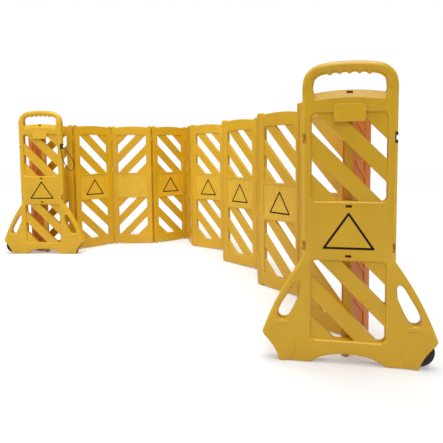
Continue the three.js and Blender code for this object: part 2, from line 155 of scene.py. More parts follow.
# The handle, from its foot along its middle line: where the round grip starts to form, and how fast
GRIP_START, GRIP_RUN = 0.022, 0.060
FOOT_WIDE, FOOT_DEEP = 0.0174, 0.0217  # half its width and depth where it leaves the post
RIDGE_W = 0.0062
NATURAL = 2.718

STRAIGHT = 0.4  # outline corners that turn less than this, in radians, aren't rounded
SHARP = radians(25)  # edges that fold more than this stay sharp

# Routes of the loops from the middle of their clip, in metres: outwards, back and up
FAR_LOOP = (
    (0, -0.012, CORD_SPREAD), (0, -0.0165, CORD_SPREAD), (0, -0.021, CORD_SPREAD), (0.0005, -0.0285, 0.008),
    (0.0015, -0.032, -0.002), (0.003, -0.031, -0.016), (0.006, -0.027, -0.042), (0.009, -0.020, -0.070),
    (0.012, -0.008, -0.100), (0.017, 0.006, -0.128), (0.025, 0.019, -0.152), (0.036, 0.031, -0.170),
    (0.049, 0.040, -0.172), (0.060, 0.046, -0.158), (0.064, 0.048, -0.138), (0.061, 0.046, -0.112),
    (0.050, 0.043, -0.084), (0.034, 0.039, -0.060), (0.021, 0.0355, -0.036), (0.012, 0.0335, -0.0225),
    (0.0042, 0.0295, -0.015), (0, 0.0205, -CORD_SPREAD), (0, 0.0165, -CORD_SPREAD), (0, 0.012, -CORD_SPREAD),
)
NEAR_LOOP = (
    (0, 0.012, CORD_SPREAD), (0, 0.0165, CORD_SPREAD), (0, 0.0205, CORD_SPREAD), (-0.0015, 0.028, 0.0085),
    (-0.0045, 0.032, 0), (-0.008, 0.033, -0.010), (-0.012, 0.0325, -0.024), (-0.016, 0.031, -0.046),
    (-0.019, 0.029, -0.080), (-0.021, 0.028, -0.120), (-0.022, 0.0275, -0.170), (-0.022, 0.0275, -0.180),
    (-0.0205, 0.0275, -0.1865), (-0.0165, 0.0275, -0.1912), (-0.0105, 0.0275, -0.193),
    (-0.0045, 0.0275, -0.1912), (-0.0005, 0.0275, -0.1865), (0.001, 0.0275, -0.180), (0.001, 0.0275, -0.170),
    (0.0005, 0.028, -0.120), (0.0005, 0.029, -0.080), (0.0005, 0.031, -0.048), (0.0003, 0.033, -0.038),
    (0, 0.032, -0.026), (0, 0.0278, -0.0166), (0, 0.0205, -CORD_SPREAD), (0, 0.0165, -CORD_SPREAD),
    (0, 0.012, -CORD_SPREAD),
)


# Places

def middle(node):
    low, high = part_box(node)
    return (low + high) / 2


def pin_place(number):
    at = middle(f"hinge_pin_{number:02d}")
    return Vector((at.x, at.y))


def stand_place(side):
    """Matrix from an end stand's own frame to the row frame. Its hinge pin stands straight behind it."""
    at = middle(f"{side}_end_stand")
    pin = pin_place(1 if side == "far" else 15)
    turn = atan2(-(pin.x - at.x), pin.y - at.y)
    return Matrix.Translation((at.x, at.y, 0)) @ Matrix.Rotation(turn, 4, "Z")


def panel_place(k):
    """Matrix from a panel's own frame to the row frame. Piece 0 is the far link and 13 the near one."""
    width = PITCH / 2 if k in (0, PANELS + 1) else PITCH
    side = -1 if k % 2 else 1
    left, right = pin_place(k + 1), pin_place(k + 2)
    turn = atan2(right.y - left.y, right.x - left.x) - atan2(-2 * HINGE_OFF * side, width)
    offset = Matrix.Rotation(turn, 2) @ Vector((0, HINGE_OFF * side))
    place = Matrix.Translation((left.x - offset.x, left.y - offset.y, 0)) @ Matrix.Rotation(turn, 4, "Z")
    if side < 0:
        place = place @ Matrix.Translation((0, 0, PANEL_H)) @ Matrix.Rotation(pi, 4, "X")
    return place


# Outlines, as (x, z) pairs

def quad(a, b, c, steps):
    """Points of a quadratic curve from a to c, without a."""
    shares = [k / steps for k in range(1, steps + 1)]
    return [tuple((1 - t) ** 2 * p + 2 * t * (1 - t) * q + t * t * r for p, q, r in zip(a, b, c))
            for t in shares]


def mirrored(half):
    """A half outline from the bottom middle to the top middle, completed by its mirror image."""
    return list(half) + [(-x, z) for x, z in reversed(half[1:-1])]


def rectangle(x0, x1, z0, z1):
    return [(x0, z0), (x1, z0), (x1, z1), (x0, z1)]


def round_rect(x0, x1, z0, z1, r, steps=6):
    out = []
    corners = ((x1 - r, z0 + r, -90), (x1 - r, z1 - r, 0), (x0 + r, z1 - r, 90), (x0 + r, z0 + r, 180))
    for cx, cz, start in corners:
        for k in range(steps + 1):
            a = radians(start + 90 * k / steps)
            out.append((cx + r * cos(a), cz + r * sin(a)))
    return out


def grown(window, by, r):
    """A rounded outline this much larger than a window, all round."""
    x0, x1, z0, z1 = window
    return round_rect(x0 - by, x1 + by, z0 - by, z1 + by, r)


def area(points):
    return sum(a[0] * b[1] - b[0] * a[1] for a, b in zip(points, points[1:] + points[:1])) / 2


def clip(points, nx, nz, limit):
    """The part of a closed outline where nx x + nz z is at most limit."""
    out = []
    for a, b in zip(points, points[1:] + points[:1]):
        da, db = nx * a[0] + nz * a[1] - limit, nx * b[0] + nz * b[1] - limit
        if da <= 0:
            out.append(a)
        if (da < 0 < db) or (db < 0 < da):
            t = da / (da - db)
            out.append((a[0] + t * (b[0] - a[0]), a[1] + t * (b[1] - a[1])))
    return out


def soften(points, radius, steps=6):
    """Round each sharp corner of a closed outline."""
    points = [p for p, q in zip(points, points[1:] + points[:1]) if hypot(p[0] - q[0], p[1] - q[1]) > 1e-5]
    out = []
    for k, b in enumerate(points):
        a, c = points[k - 1], points[(k + 1) % len(points)]
        u, v = Vector(b) - Vector(a), Vector(c) - Vector(b)
        turn = acos(max(-1, min(1, u.dot(v) / (u.length * v.length))))
        if turn < STRAIGHT:
            out.append(b)
            continue
        back = min(radius * tan(turn / 2), 0.45 * u.length, 0.45 * v.length)
        start = tuple(Vector(b) - u.normalized() * back)
        end = tuple(Vector(b) + v.normalized() * back)
        out += [start] + quad(start, b, end, steps)
    return out


def slanting(points, cx, cz, low, high):
    """The part of an outline within a band that falls to the right at 45 degrees."""
    s = 1 / sqrt(2)
    base = s * (cx + cz)
    return clip(clip(points, s, s, base + high), -s, -s, -(base + low))


def window_gaps(window, corner):
    """The three slanting gaps between the bars of a window, each a little past the window's edge."""
    x0, x1, z0, z1 = window
    cx, cz = (x0 + x1) / 2, (z0 + z1) / 2
    frame_edge = rectangle(x0 - SPILL, x1 + SPILL, z0 - SPILL, z1 + SPILL)
    outer = MID_GAP / 2 + BAR_W
    bands = ((-outer - END_GAP, -outer), (-MID_GAP / 2, MID_GAP / 2), (outer, outer + END_GAP))
    return [soften(slanting(frame_edge, cx, cz, low, high), corner) for low, high in bands]


def stand_outline():
    inner = HALF_WIN - 0.006
    shoulder = BAR_TOP - CROWN
    knee = (TOE - 0.003, TOE_Z + 0.008)
    return mirrored(
        [(0, ARCH_H)]
        + quad((0, ARCH_H), (FOOT_IN * 0.6, ARCH_H + 0.003), (FOOT_IN, 0), 12)
        + [(FOOT_OUT, 0)]
        + quad((FOOT_OUT, 0), (FOOT_OUT + 0.008, 0.042), (TOE - 0.004, TOE_Z - 0.005), 12)
        + quad((TOE - 0.004, TOE_Z - 0.005), (TOE + 0.001, TOE_Z + 0.001), knee, 5)
        + quad(knee, (HALF_BODY + 0.086, MID - 0.222), (HALF_BODY, MID - 0.104), 20)
        + [(HALF_BODY, POST_TOP - 0.010), (inner, POST_TOP - 0.010), (inner, shoulder + 0.006)]
        + quad((inner, shoulder + 0.006), (inner, shoulder), (inner - 0.006, shoulder + 0.001), 4)
        + quad((inner - 0.006, shoulder + 0.001), (inner / 2, BAR_TOP), (0, BAR_TOP), 10)
    )


def brace_slot(sign):
    offsets = (
        (0.005, 0.189), (0.008, 0.226), (0.033, 0.282), (0.047, 0.306), (0.056, 0.313), (0.073, 0.313),
        (0.082, 0.305), (0.083, 0.292), (0.072, 0.264), (0.049, 0.226), (0.031, 0.195), (0.020, 0.182),
        (0.010, 0.180),
    )
    return soften([(sign * (HALF_BODY + x), MID - down) for x, down in offsets], 0.012, 3)


def panel_outline(width):
    """Arched top and bottom between two ears at each corner."""
    half = (width - PANEL_GAP) / 2
    start = PANEL_H - EAR_DROP
    slope = EAR_DROP * 0.4
    rise = 2 * EAR_DROP - 0.003
    left, right = (EAR_W - half, start), (half - EAR_W, start)
    top = [(half, PANEL_H), (right[0] + slope, PANEL_H), right]
    top += quad(right, (0, start + rise), left, 16)
    top += [(left[0] - slope, PANEL_H), (-half, PANEL_H)]
    bottom = [(x, PANEL_H - z) for x, z in reversed(top)]
    return soften([(x + width / 2, z) for x, z in top + bottom], 0.005, 3)


def triangle(width, height, z0, line):
    """Outer and inner outline of a standing triangle with slightly rounded corners."""
    outer = [(-width / 2, z0), (width / 2, z0), (0, z0 + height)]
    side = hypot(width / 2, height)
    inset = width * height / (width + 2 * side)
    share = 1 - line / inset
    cz = z0 + inset
    inner = [(x * share, cz + (z - cz) * share) for x, z in outer]
    return soften(outer, line * 0.5, 3), soften(inner, line * 0.2, 2)


# Meshes

def moved_in(loop, amount):
    """A closed outline with its material on the left, drawn back into the material."""
    out = []
    for k, b in enumerate(loop):
        a, c = Vector(loop[k - 1]), Vector(loop[(k + 1) % len(loop)])
        u, v = (Vector(b) - a).normalized(), (c - Vector(b)).normalized()
        across = Vector((-u.y - v.y, u.x + v.x)) * (amount / max(0.3, 1 + u.dot(v)))
        out.append((b[0] + across.x, b[1] + across.y))
    return out


def within(point, loop):
    x, z = point
    hits = 0
    for a, b in zip(loop, loop[1:] + loop[:1]):
        if (a[1] > z) != (b[1] > z) and x < a[0] + (z - a[1]) / (b[1] - a[1]) * (b[0] - a[0]):
            hits += 1
    return hits % 2 == 1


def plate(outline, holes, y0, y1, edge, steps=2, inset=0):
    """A flat moulding seen from the front, from y0 to y1, with its edges rounded."""
    loops = [loop if area(loop) * turn > 0 else loop[::-1]
             for loop, turn in [(outline, 1)] + [(hole, -1) for hole in holes]]
    front = [(inset + edge * (1 - sin(pi / 2 * k / steps)), edge * (1 - cos(pi / 2 * k / steps)))
             for k in range(steps + 1)]
    profile = [(d, y0 + y) for d, y in front] + [(d, y1 - y) for d, y in reversed(front)]
    points, faces, rims = [], [], []
    for loop in loops:
        count = len(loop)
        rims.append(moved_in(loop, inset + edge))
        for r, (d, y) in enumerate(profile):
            start = len(points)
            points += [(x, y, z) for x, z in moved_in(loop, d)]
            if r:
                faces += [(start + k - count, start + j - count, start + j, start + k)
                          for k, j in zip(range(count), [*range(1, count), 0])]
    flat = [p for rim in rims for p in rim]
    edges, start = [], 0
    for rim in rims:
        edges += [(start + k, start + (k + 1) % len(rim)) for k in range(len(rim))]
        start += len(rim)
    corners, _, tiles, *_ = delaunay_2d_cdt([Vector(p) for p in flat], edges, [], 0, 1e-7)
    kept = []
    for tile in tiles:
        mid = sum((corners[k] for k in tile), Vector((0, 0))) / len(tile)
        if within(mid, rims[0]) and not any(within(mid, rim) for rim in rims[1:]):
            kept.append(tile)
    for y in (y0, y1):
        start = len(points)
        points += [(p.x, y, p.y) for p in corners]
        faces += [tuple(start + k for k in tile) for tile in kept]
    mesh = bpy.data.meshes.new("plate")
    mesh.from_pydata(points, [], faces)
    return mesh


def from_rings(rings, closed):
    """A mesh through rings of points. Closed joins the last ring to the first, else both ends are capped."""
    mesh = bpy.data.meshes.new("rings")
    count = len(rings[0])
    points = [p for ring in rings for p in ring]
    faces = []
    for r in range(len(rings) if closed else len(rings) - 1):
        nxt = (r + 1) % len(rings)
        for k in range(count):
            j = (k + 1) % count
            faces.append((r * count + k, r * count + j, nxt * count + j, nxt * count + k))
    if not closed:
        faces.append(tuple(reversed(range(count))))
        faces.append(tuple((len(rings) - 1) * count + k for k in range(count)))
    mesh.from_pydata(points, [], faces)
    return mesh


def turned(profile, sides):
    """A ring about the Z axis from a closed profile of (radius, z) pairs."""
    rings = []
    for s in range(sides):
        a = 2 * pi * s / sides
        rings.append([(r * cos(a), r * sin(a), z) for r, z in profile])
    return from_rings(rings, True)


def block(x0, x1, y0, y1, z0, z1):
    return from_rings([[(x, y, z) for x, z in rectangle(x0, x1, z0, z1)] for y in (y0, y1)], False)


def drum(x, z, y0, y1, radius, sides=64):
    """A cylinder lying along Y."""
    angles = [2 * pi * k / sides for k in range(sides)]
    rings = [[(x + radius * cos(a), y, z + radius * sin(a)) for a in angles] for y in (y0, y1)]
    return from_rings(rings, False)


def placed(mesh, matrix):
    mesh.transform(matrix)
    return mesh


def fused(name, meshes):
    """One mesh from several, with doubled points welded and faces turned outwards."""
    bm = bmesh.new()
    for mesh in meshes:
        part = bmesh.new()
        part.from_mesh(mesh)
        bmesh.ops.remove_doubles(part, verts=part.verts, dist=1e-6)
        bmesh.ops.delete(part, geom=[v for v in part.verts if not v.link_faces], context="VERTS")
        bmesh.ops.recalc_face_normals(part, faces=part.faces)
        part.to_mesh(mesh)
        part.free()
        bm.from_mesh(mesh)
        bpy.data.meshes.remove(mesh)
    out = bpy.data.meshes.new(name)
    bm.to_mesh(out)
    bm.free()
    out.polygons.foreach_set("use_smooth", [True] * len(out.polygons))
    out.set_sharp_from_angle(angle=SHARP)
    return out


def boolean(name, mesh, cutters):
    """The mesh with each cutter taken from it."""
    body = bpy.data.objects.new(name, fused(name, [mesh]))
    bpy.context.collection.objects.link(body)
    tools = []
    for cutter in cutters:
        tool = bpy.data.objects.new("cutter", fused("cutter", [cutter]))
        bpy.context.collection.objects.link(tool)
        step = body.modifiers.new("cut", "BOOLEAN")
        step.operation = "DIFFERENCE"
        step.solver = "EXACT"
        step.object = tool
        tools.append(tool)
    out = bpy.data.meshes.new_from_object(body.evaluated_get(bpy.context.evaluated_depsgraph_get()))
    for used in (body, *tools):
        bpy.data.objects.remove(used)
    return out


def spline_points(route, steps):
    """Points of a centripetal Catmull-Rom curve through the route."""
    pts = [Vector(p) for p in route]
    pts = [2 * pts[0] - pts[1]] + pts + [2 * pts[-1] - pts[-2]]
    out = []
    for p0, p1, p2, p3 in zip(pts, pts[1:], pts[2:], pts[3:]):
        d0, d1, d2 = (sqrt((b - a).length) for a, b in ((p0, p1), (p1, p2), (p2, p3)))
        m1 = ((p1 - p0) / d0 - (p2 - p0) / (d0 + d1) + (p2 - p1) / d1) * d1
        m2 = ((p2 - p1) / d1 - (p3 - p1) / (d1 + d2) + (p3 - p2) / d2) * d1
        square, cube = 3 * (p2 - p1) - 2 * m1 - m2, 2 * (p1 - p2) + m1 + m2
        for k in range(steps):
            t = k / steps
            out.append(p1 + m1 * t + square * t ** 2 + cube * t ** 3)
    return out + [pts[-2]]


def piece(name, mesh, material, place, body, nodes=()):
    """A visible piece that rides on a body and stands for the CAD nodes named. Its place is in its mesh."""
    mesh = mesh.copy()
    mesh.name = name
    mesh.transform(place)
    mesh.materials.append(material)
    obj = bpy.data.objects.new(name, mesh)
    bpy.context.collection.objects.link(obj)
    normals = obj.modifiers.new("even shading", "WEIGHTED_NORMAL")
    normals.weight, normals.keep_sharp = 60, True
    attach(obj, body)
    if nodes:
        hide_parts(*nodes)


def barrel(x, y, z):
    """One hinge knuckle: a tube round the pin with softened ends."""
    r0, r1, h, c = PIN_R + CLEAR, BARREL_R, BARREL_L / 2, 0.0006
    profile = [(r0, -h), (r1 - c, -h), (r1, c - h), (r1, h - c), (r1 - c, h), (r0, h)]
    return placed(turned(profile, 24), Matrix.Translation((x, y, z)))


def knuckles(x, y, outer, arm_x, arm_y):
    """Two knuckles, each with the arm that holds it, at the outer or the inner pair of heights."""
    reach = KNUCKLE_OUT if outer else KNUCKLE_IN
    out = []
    for z in (MID - reach, MID + reach):
        low, high = z - BARREL_L / 2 + 0.0004, z + BARREL_L / 2 - 0.0004
        out.append(barrel(x, y, z))
        out.append(plate(rectangle(*arm_x, low, high), [], *arm_y, 0.0006, 1))
    return out


# Materials

class Socket:
    """A node's output that takes part in Python arithmetic."""

    def __init__(self, graph, out):
        self.graph, self.out = graph, out

    def _math(self, operation, *values):
        return self.graph.add("ShaderNodeMath", {"operation": operation}, dict(enumerate(values)))

    def __add__(self, other):
        return self._math("ADD", self, other)

    def __mul__(self, other):
        return self._math("MULTIPLY", self, other)

    def maximum(self, other):
        return self._math("MAXIMUM", self, other)

    def clamp(self):
        return self.graph.add("ShaderNodeClamp", {}, {0: self})

    __radd__, __rmul__ = __add__, __mul__


class Graph:
    """The node tree of a new material or of the world."""

    def __init__(self, owner, out_type):
        owner.use_nodes = True
        self.tree = owner.node_tree
        self.tree.nodes.clear()
        self.end = self.tree.nodes.new(out_type)

    def add(self, kind, settings=None, inputs=None, output=0):
        """A node of this kind with its settings made first, then its sockets' values or links."""
        node = self.tree.nodes.new(kind)
        for key, value in (settings or {}).items():
            if key == "stops":
                ramp = node.color_ramp.elements
                while len(ramp) < len(value):
                    ramp.new(0.5)
                for stop, (at, colour) in zip(ramp, value):
                    stop.position, stop.color = at, (*colour, 1)
            else:
                setattr(node, key, value)
        for key, value in (inputs or {}).items():
            self.put(node, key, value)
        return Socket(self, node.outputs[output])

    def put(self, node, key, value):
        """Link a socket to an input of the node, or set the input's value."""
        if isinstance(value, Socket):
            self.tree.links.new(value.out, node.inputs[key])
        else:
            node.inputs[key].default_value = value

    def close(self, shader):
        self.tree.links.new(shader.out, self.end.inputs["Surface"])

    def noise(self, scale, detail=3.0, roughness=0.55, own=0.0, stretch=None):
        """Noise over the piece's own coordinates. Own moves it by piece, so that no two look alike."""
        at = self.add("ShaderNodeTexCoord", output="Object")
        if stretch:
            at = self.add("ShaderNodeMapping", {}, {"Vector": at, "Scale": stretch})
        where = self.add("ShaderNodeObjectInfo", output="Random") * own
        return self.add("ShaderNodeTexNoise", {"noise_dimensions": "4D"},
                        {"Vector": at, "W": where, "Scale": scale, "Detail": detail, "Roughness": roughness})

    def ramp(self, value, *stops):
        return self.add("ShaderNodeValToRGB", {"stops": stops}, {0: value})

    def blend(self, share, a, b):
        """Colour a changed to colour b by this share."""
        a, b = ((*colour, 1) if isinstance(colour, tuple) else colour for colour in (a, b))
        return self.add("ShaderNodeMix", {"data_type": "RGBA"}, {0: share, 6: a, 7: b}, 2)

    def bump(self, height, strength, distance):
        return self.add("ShaderNodeBump", {}, {"Height": height, "Strength": strength, "Distance": distance})

    def seen_by(self, *rays):
        """1 for these kinds of ray and 0 for all others."""
        path = self.tree.nodes.new("ShaderNodeLightPath")
        first, *others = (Socket(self, path.outputs[f"Is {ray} Ray"]) for ray in rays)
        for other in others:
            first = first.maximum(other)
        return first

    def edges(self, low, high):
        """Mask of raised edges."""
        point = self.add("ShaderNodeNewGeometry", output="Pointiness")
        return self.ramp(point, (low, (0, 0, 0)), (high, (1, 1, 1)))


def shaded(colour, factor):
    return tuple(min(1.0, c * factor) for c in colour)


def new_material(name):
    material = bpy.data.materials.get(name) or bpy.data.materials.new(name)
    return material, Graph(material, "ShaderNodeOutputMaterial")


def moulded_plastic(name, colour, roughness, grain):
    """Slightly grained safety-yellow moulding: cloudy colour, a patchy painted highlight along raised edges,
    fine scuffs and dust.
    """
    material, g = new_material(name)
    cloud = g.noise(5.0, 4.0, 0.6, own=20.0)
    fine = g.noise(160.0, 3.0, 0.6, own=9.0)
    scuff = g.noise(38.0, 6.0, 0.7, own=31.0, stretch=(1.0, 1.0, 0.35))
    tone = g.ramp(cloud, (0.30, shaded(colour, 0.90)), (0.72, shaded(colour, 1.07)))
    tone = g.blend(g.ramp(fine, (0.42, (0, 0, 0)), (0.75, (1, 1, 1))) * 0.10, tone, shaded(colour, 0.78))
    # Painted highlight: raised edges turn pale where light would catch them, made patchy by the scuff noise.
    pale = (min(1, colour[0] * 1.16 + 0.03), min(1, colour[1] * 1.24 + 0.03), colour[2] * 1.8 + 0.03)
    edge_highlight = (g.edges(0.508, 0.555) * g.ramp(scuff, (0.35, (0.25,) * 3), (0.65, (1, 1, 1)))).clamp()
    tone = g.blend(edge_highlight * 0.75, tone, pale)
    marks = g.ramp(scuff, (0.60, (0, 0, 0)), (0.70, (1, 1, 1)))
    tone = g.blend(marks * 0.07, tone, shaded(colour, 0.62))
    gloss = g.ramp(g.noise(22.0, 5.0, 0.6, own=13.0), (0.3, (0.0,) * 3), (0.7, (1.0,) * 3))
    height = g.noise(520.0, 2.0, 0.5) * 0.7 + g.noise(95.0, 2.0, 0.5, own=4.0) * 0.3
    shader = g.add("ShaderNodeBsdfPrincipled", {}, {
        "Base Color": tone,
        "Roughness": gloss * 0.12 + marks * 0.06 + (roughness - 0.06),
        "Normal": g.bump(height, 1.0, grain),
        "Specular IOR Level": 0.50,
    })
    g.close(shader)
    return material


def printed_ink(name, colour):
    """Dark printed line, a little worn, that lets the yellow through in specks."""
    material, g = new_material(name)
    worn = g.ramp(g.noise(420.0, 5.0, 0.7, own=7.0), (0.60, (0, 0, 0)), (0.72, (1, 1, 1)))
    tone = g.blend(worn * 0.15, g.ramp(g.noise(60.0), (0.3, colour), (0.7, shaded(colour, 1.7))),
                   (0.30, 0.15, 0.012))
    g.close(g.add("ShaderNodeBsdfPrincipled", {}, {
        "Base Color": tone,
        "Roughness": g.noise(130.0) * 0.2 + 0.55,
        "Normal": g.bump(g.noise(520.0, 2.0), 0.8, 0.00003),
        "Specular IOR Level": 0.2,
    }))
    return material


def black_rubber(name, colour, weave=0.0):
    """Dusty black rubber, or braided cover where weave is given."""
    material, g = new_material(name)
    dust = g.ramp(g.noise(28.0, 6.0, 0.65, own=5.0), (0.42, (0, 0, 0)), (0.75, (1, 1, 1)))
    tone = g.blend(dust * 0.35, g.ramp(g.noise(260.0), (0.3, shaded(colour, 0.7)), (0.7, shaded(colour, 1.5))),
                   (0.055, 0.050, 0.042))
    height = g.noise(600.0, 2.0)
    if weave:
        at = g.add("ShaderNodeTexCoord", output="Object")
        for way in (1.0, -1.0):
            turned_at = g.add("ShaderNodeMapping", {}, {"Vector": at, "Rotation": (0.6, 0.75 * way, 0.4)})
            height = height * 0.4 + g.add("ShaderNodeTexWave", {"wave_type": "BANDS"},
                                          {"Vector": turned_at, "Scale": weave, "Distortion": 0.6}, 1)
    g.close(g.add("ShaderNodeBsdfPrincipled", {}, {
        "Base Color": tone,
        "Roughness": dust * 0.18 + 0.62,
        "Normal": g.bump(height, 0.9, 0.0002),
    }))
    return material


def dark_plastic(name, colour):
    """Dark moulding, paler along its raised edges."""
    material, g = new_material(name)
    tone = g.ramp(g.noise(40.0, 5.0, own=3.0), (0.3, shaded(colour, 0.8)), (0.7, shaded(colour, 1.4)))
    tone = g.blend(g.edges(0.52, 0.60) * 0.4, tone, shaded(colour, 4.0))
    g.close(g.add("ShaderNodeBsdfPrincipled", {}, {
        "Base Color": tone,
        "Roughness": g.noise(90.0, 4.0) * 0.25 + 0.36,
        "Normal": g.bump(g.noise(700.0, 2.0), 0.8, 0.00005),
    }))
    return material


def zinc_steel(name, colour):
    """Zinc-plated rod, drawn lengthwise, with dull patches."""
    material, g = new_material(name)
    drawn = g.noise(900.0, 3.0, 0.6, stretch=(1.0, 1.0, 0.02))
    patch = g.ramp(g.noise(70.0, 5.0, 0.7, own=6.0), (0.45, (0, 0, 0)), (0.7, (1, 1, 1)))
    tone = g.blend(patch * 0.5, g.ramp(drawn, (0.3, shaded(colour, 0.85)), (0.7, shaded(colour, 1.1))),
                   shaded(colour, 0.55))
    g.close(g.add("ShaderNodeBsdfPrincipled", {}, {
        "Base Color": tone, "Metallic": 1.0,
        "Roughness": drawn * 0.16 + patch * 0.2 + 0.22,
        "Normal": g.bump(drawn, 0.5, 0.00003),
    }))
    return material


# Settings

class BarrierSettings(bpy.types.PropertyGroup):
    """Sizes and colours that a user would change"""

    stand_edge: bpy.props.FloatProperty(
        name="Stand edge", description="Radius of the end stands' outer edges", default=0.0085, unit="LENGTH")
    panel_edge: bpy.props.FloatProperty(
        name="Panel edge", description="Radius of the panels' outer edges", default=0.0028, unit="LENGTH")
    bar_edge: bpy.props.FloatProperty(
        name="Bar edge", description="Radius along the diagonal bars", default=0.0030, unit="LENGTH")
    gap_corner: bpy.props.FloatProperty(
        name="Gap corner", description="Corner radius of the gaps between bars", default=0.0045, unit="LENGTH")
    print_line: bpy.props.FloatProperty(
        name="Print line", description="Width of the printed triangle's line", default=0.0076, unit="LENGTH")
    ridge_height: bpy.props.FloatProperty(
        name="Grip ridge", description="How far each finger ridge stands down from the grip", default=0.0068,
        unit="LENGTH")
    yellow: bpy.props.FloatVectorProperty(
        name="Yellow", description="Colour of the mouldings", default=(0.71, 0.405, 0.008), subtype="COLOR")
    ink: bpy.props.FloatVectorProperty(
        name="Ink", description="Colour of the printed triangles", default=(0.010, 0.002, 0.001),
        subtype="COLOR")
    black: bpy.props.FloatVectorProperty(
        name="Black", description="Colour of tyres, cords and clips", default=(0.012, 0.011, 0.011),
        subtype="COLOR")
    hub: bpy.props.FloatVectorProperty(
        name="Hub", description="Colour of the wheel hubs", default=(0.030, 0.030, 0.032), subtype="COLOR")
    steel: bpy.props.FloatVectorProperty(
        name="Steel", description="Colour of the axles", default=(0.45, 0.45, 0.46), subtype="COLOR")
    pin: bpy.props.FloatVectorProperty(
        name="Pin", description="Colour of the coated hinge pins", default=(0.52, 0.26, 0.008),
        subtype="COLOR")
    # The link panels' deeper orange is painted shade: yellow plastic as it looks when lit mostly by light
    # bounced between the panels.
    link: bpy.props.FloatVectorProperty(
        name="Link", description="Colour of the link panels", default=(0.88, 0.27, 0.018), subtype="COLOR")


class BarrierStage(bpy.types.PropertyGroup):
    """Camera, floor and lamps"""

    lens: bpy.props.FloatProperty(
        name="Lens", description="Focal length in millimetres", default=38.07, subtype="NONE")
    eye: bpy.props.FloatVectorProperty(
        name="Eye", description="Place of the camera", default=(0.956, -2.642, 0.726), subtype="XYZ",
        unit="LENGTH")
    floor_tone: bpy.props.FloatProperty(
        name="Floor tone", description="Grey of the floor as the object sees it", default=0.62)
    lift: bpy.props.FloatProperty(
        name="Floor lift", description="White added to the floor for the camera only", default=0.27)
    sky: bpy.props.FloatProperty(name="Sky", description="Strength of the even light", default=0.25)
    lamp: bpy.props.FloatProperty(name="Lamp", description="Strength of the soft lamp overhead", default=2.2)
    side_lamp: bpy.props.FloatProperty(
        name="Side lamp", description="Power of the lamp on the left", default=32.0)


# Operators

class BARRIER_OT_camera(bpy.types.Operator):
    """Set the camera in front of the near stand, looking along the row"""

    bl_idname = "barrier.camera"
    bl_label = "Camera"

    def execute(self, context):
        stage = context.scene.barrier_stage
        forward = Vector((-sin(HEADING) * cos(TILT), cos(HEADING) * cos(TILT), -sin(TILT)))
        right = forward.cross(Vector((0, 0, 1))).normalized()
        up = right.cross(forward)
        turn = Matrix((right, up, -forward)).transposed().to_4x4() @ Matrix.Rotation(ROLL, 4, "Z")
        data = bpy.data.cameras.new("camera")
        data.lens, data.sensor_width = stage.lens, 36.0
        data.shift_x, data.shift_y = SHIFT
        camera = bpy.data.objects.new("camera", data)
        context.collection.objects.link(camera)
        camera.matrix_world = Matrix.Translation(stage.eye) @ turn
        context.scene.camera = camera
        return {"FINISHED"}


class BARRIER_OT_loops(bpy.types.Operator):
    """Hang the elastic loop of each end stand from its clip"""

    bl_idname = "barrier.loops"
    bl_label = "Elastic loops"

    def execute(self, context):
        settings = context.scene.barrier
        braid = black_rubber("braided_cord", settings.black, weave=260.0)
        for side, route in (("far", FAR_LOOP), ("near", NEAR_LOOP)):
            place = stand_place(side) @ Matrix.Translation((HALF_BODY - CLIP_X / 2, 0, POCKET_HIGH))
            points = [place @ p for p in spline_points(route, 8)]
            curve = bpy.data.curves.new(f"{side}_elastic_loop", "CURVE")
            curve.dimensions = "3D"
            curve.bevel_depth, curve.bevel_resolution, curve.use_fill_caps = CORD_R, 4, True
            line = curve.splines.new("POLY")
            line.points.add(len(points) - 1)
            for knot, at in zip(line.points, points):
                knot.co = (*at, 1)
            line.use_smooth = True
            curve.materials.append(braid)
            loop = bpy.data.objects.new(f"{side}_elastic_loop", curve)
            context.collection.objects.link(loop)
            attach(loop, f"{side}_stand")
            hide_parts(f"{side}_bungee_cord")
        return {"FINISHED"}


def handle_mesh(settings):
    """The carrying handle, from the square posts into a round grip with ridges for the fingers beneath."""
    side, top = HALF_BODY - HANDLE_R, STAND_H - HANDLE_R
    half = [(side + 0.0008, POST_TOP - 0.034), (side + 0.0008, POST_TOP - 0.024),
            (side + 0.0014, POST_TOP + 0.002), (side - 0.0062, top - 0.032),
            (side - 0.0290, top - 0.0125), (side - 0.072, top - 0.0030)]
    route = [(x, 0, z) for x, z in half + [(0, top)] + [(-x, z) for x, z in reversed(half)]]
    line = spline_points(route, 16)
    walked = [0.0]
    for a, b in zip(line, line[1:]):
        walked.append(walked[-1] + (b - a).length)
    rings = []
    for k, centre in enumerate(line):
        ahead = (line[min(k + 1, len(line) - 1)] - line[max(k - 1, 0)]).normalized()
        inward = Vector((0, 1, 0)).cross(ahead)
        near = min(walked[k], walked[-1] - walked[k])
        share = max(0.0, min(1.0, (near - GRIP_START) / GRIP_RUN))
        share = share * share * (3 - 2 * share)
        power = 2 / (9 - 7 * sqrt(share))
        wide, deep = FOOT_WIDE + (HANDLE_R - 0.0178) * share, FOOT_DEEP + (HANDLE_R - FOOT_DEEP) * share
        ring = []
        for s in range(40):
            a = 2 * pi * s / 40
            c, d = cos(a), sin(a)
            u = wide * abs(c) ** power * (1 if c > 0 else -1)
            v = deep * abs(d) ** power * (1 if d > 0 else -1)
            point = centre + inward * u + Vector((0, v, 0))
            below = max(0.0, (centre.z - point.z) / HANDLE_R - 0.15) / 0.85
            for r in range(GRIP_RIDGES):
                off = (point.x - (r - (GRIP_RIDGES - 1) / 2) * RIDGE_PITCH) / RIDGE_W
                point.z -= settings.ridge_height * below ** 0.7 * NATURAL ** (-off * off)
            ring.append(point)
        rings.append(ring)
    return from_rings(rings, False)


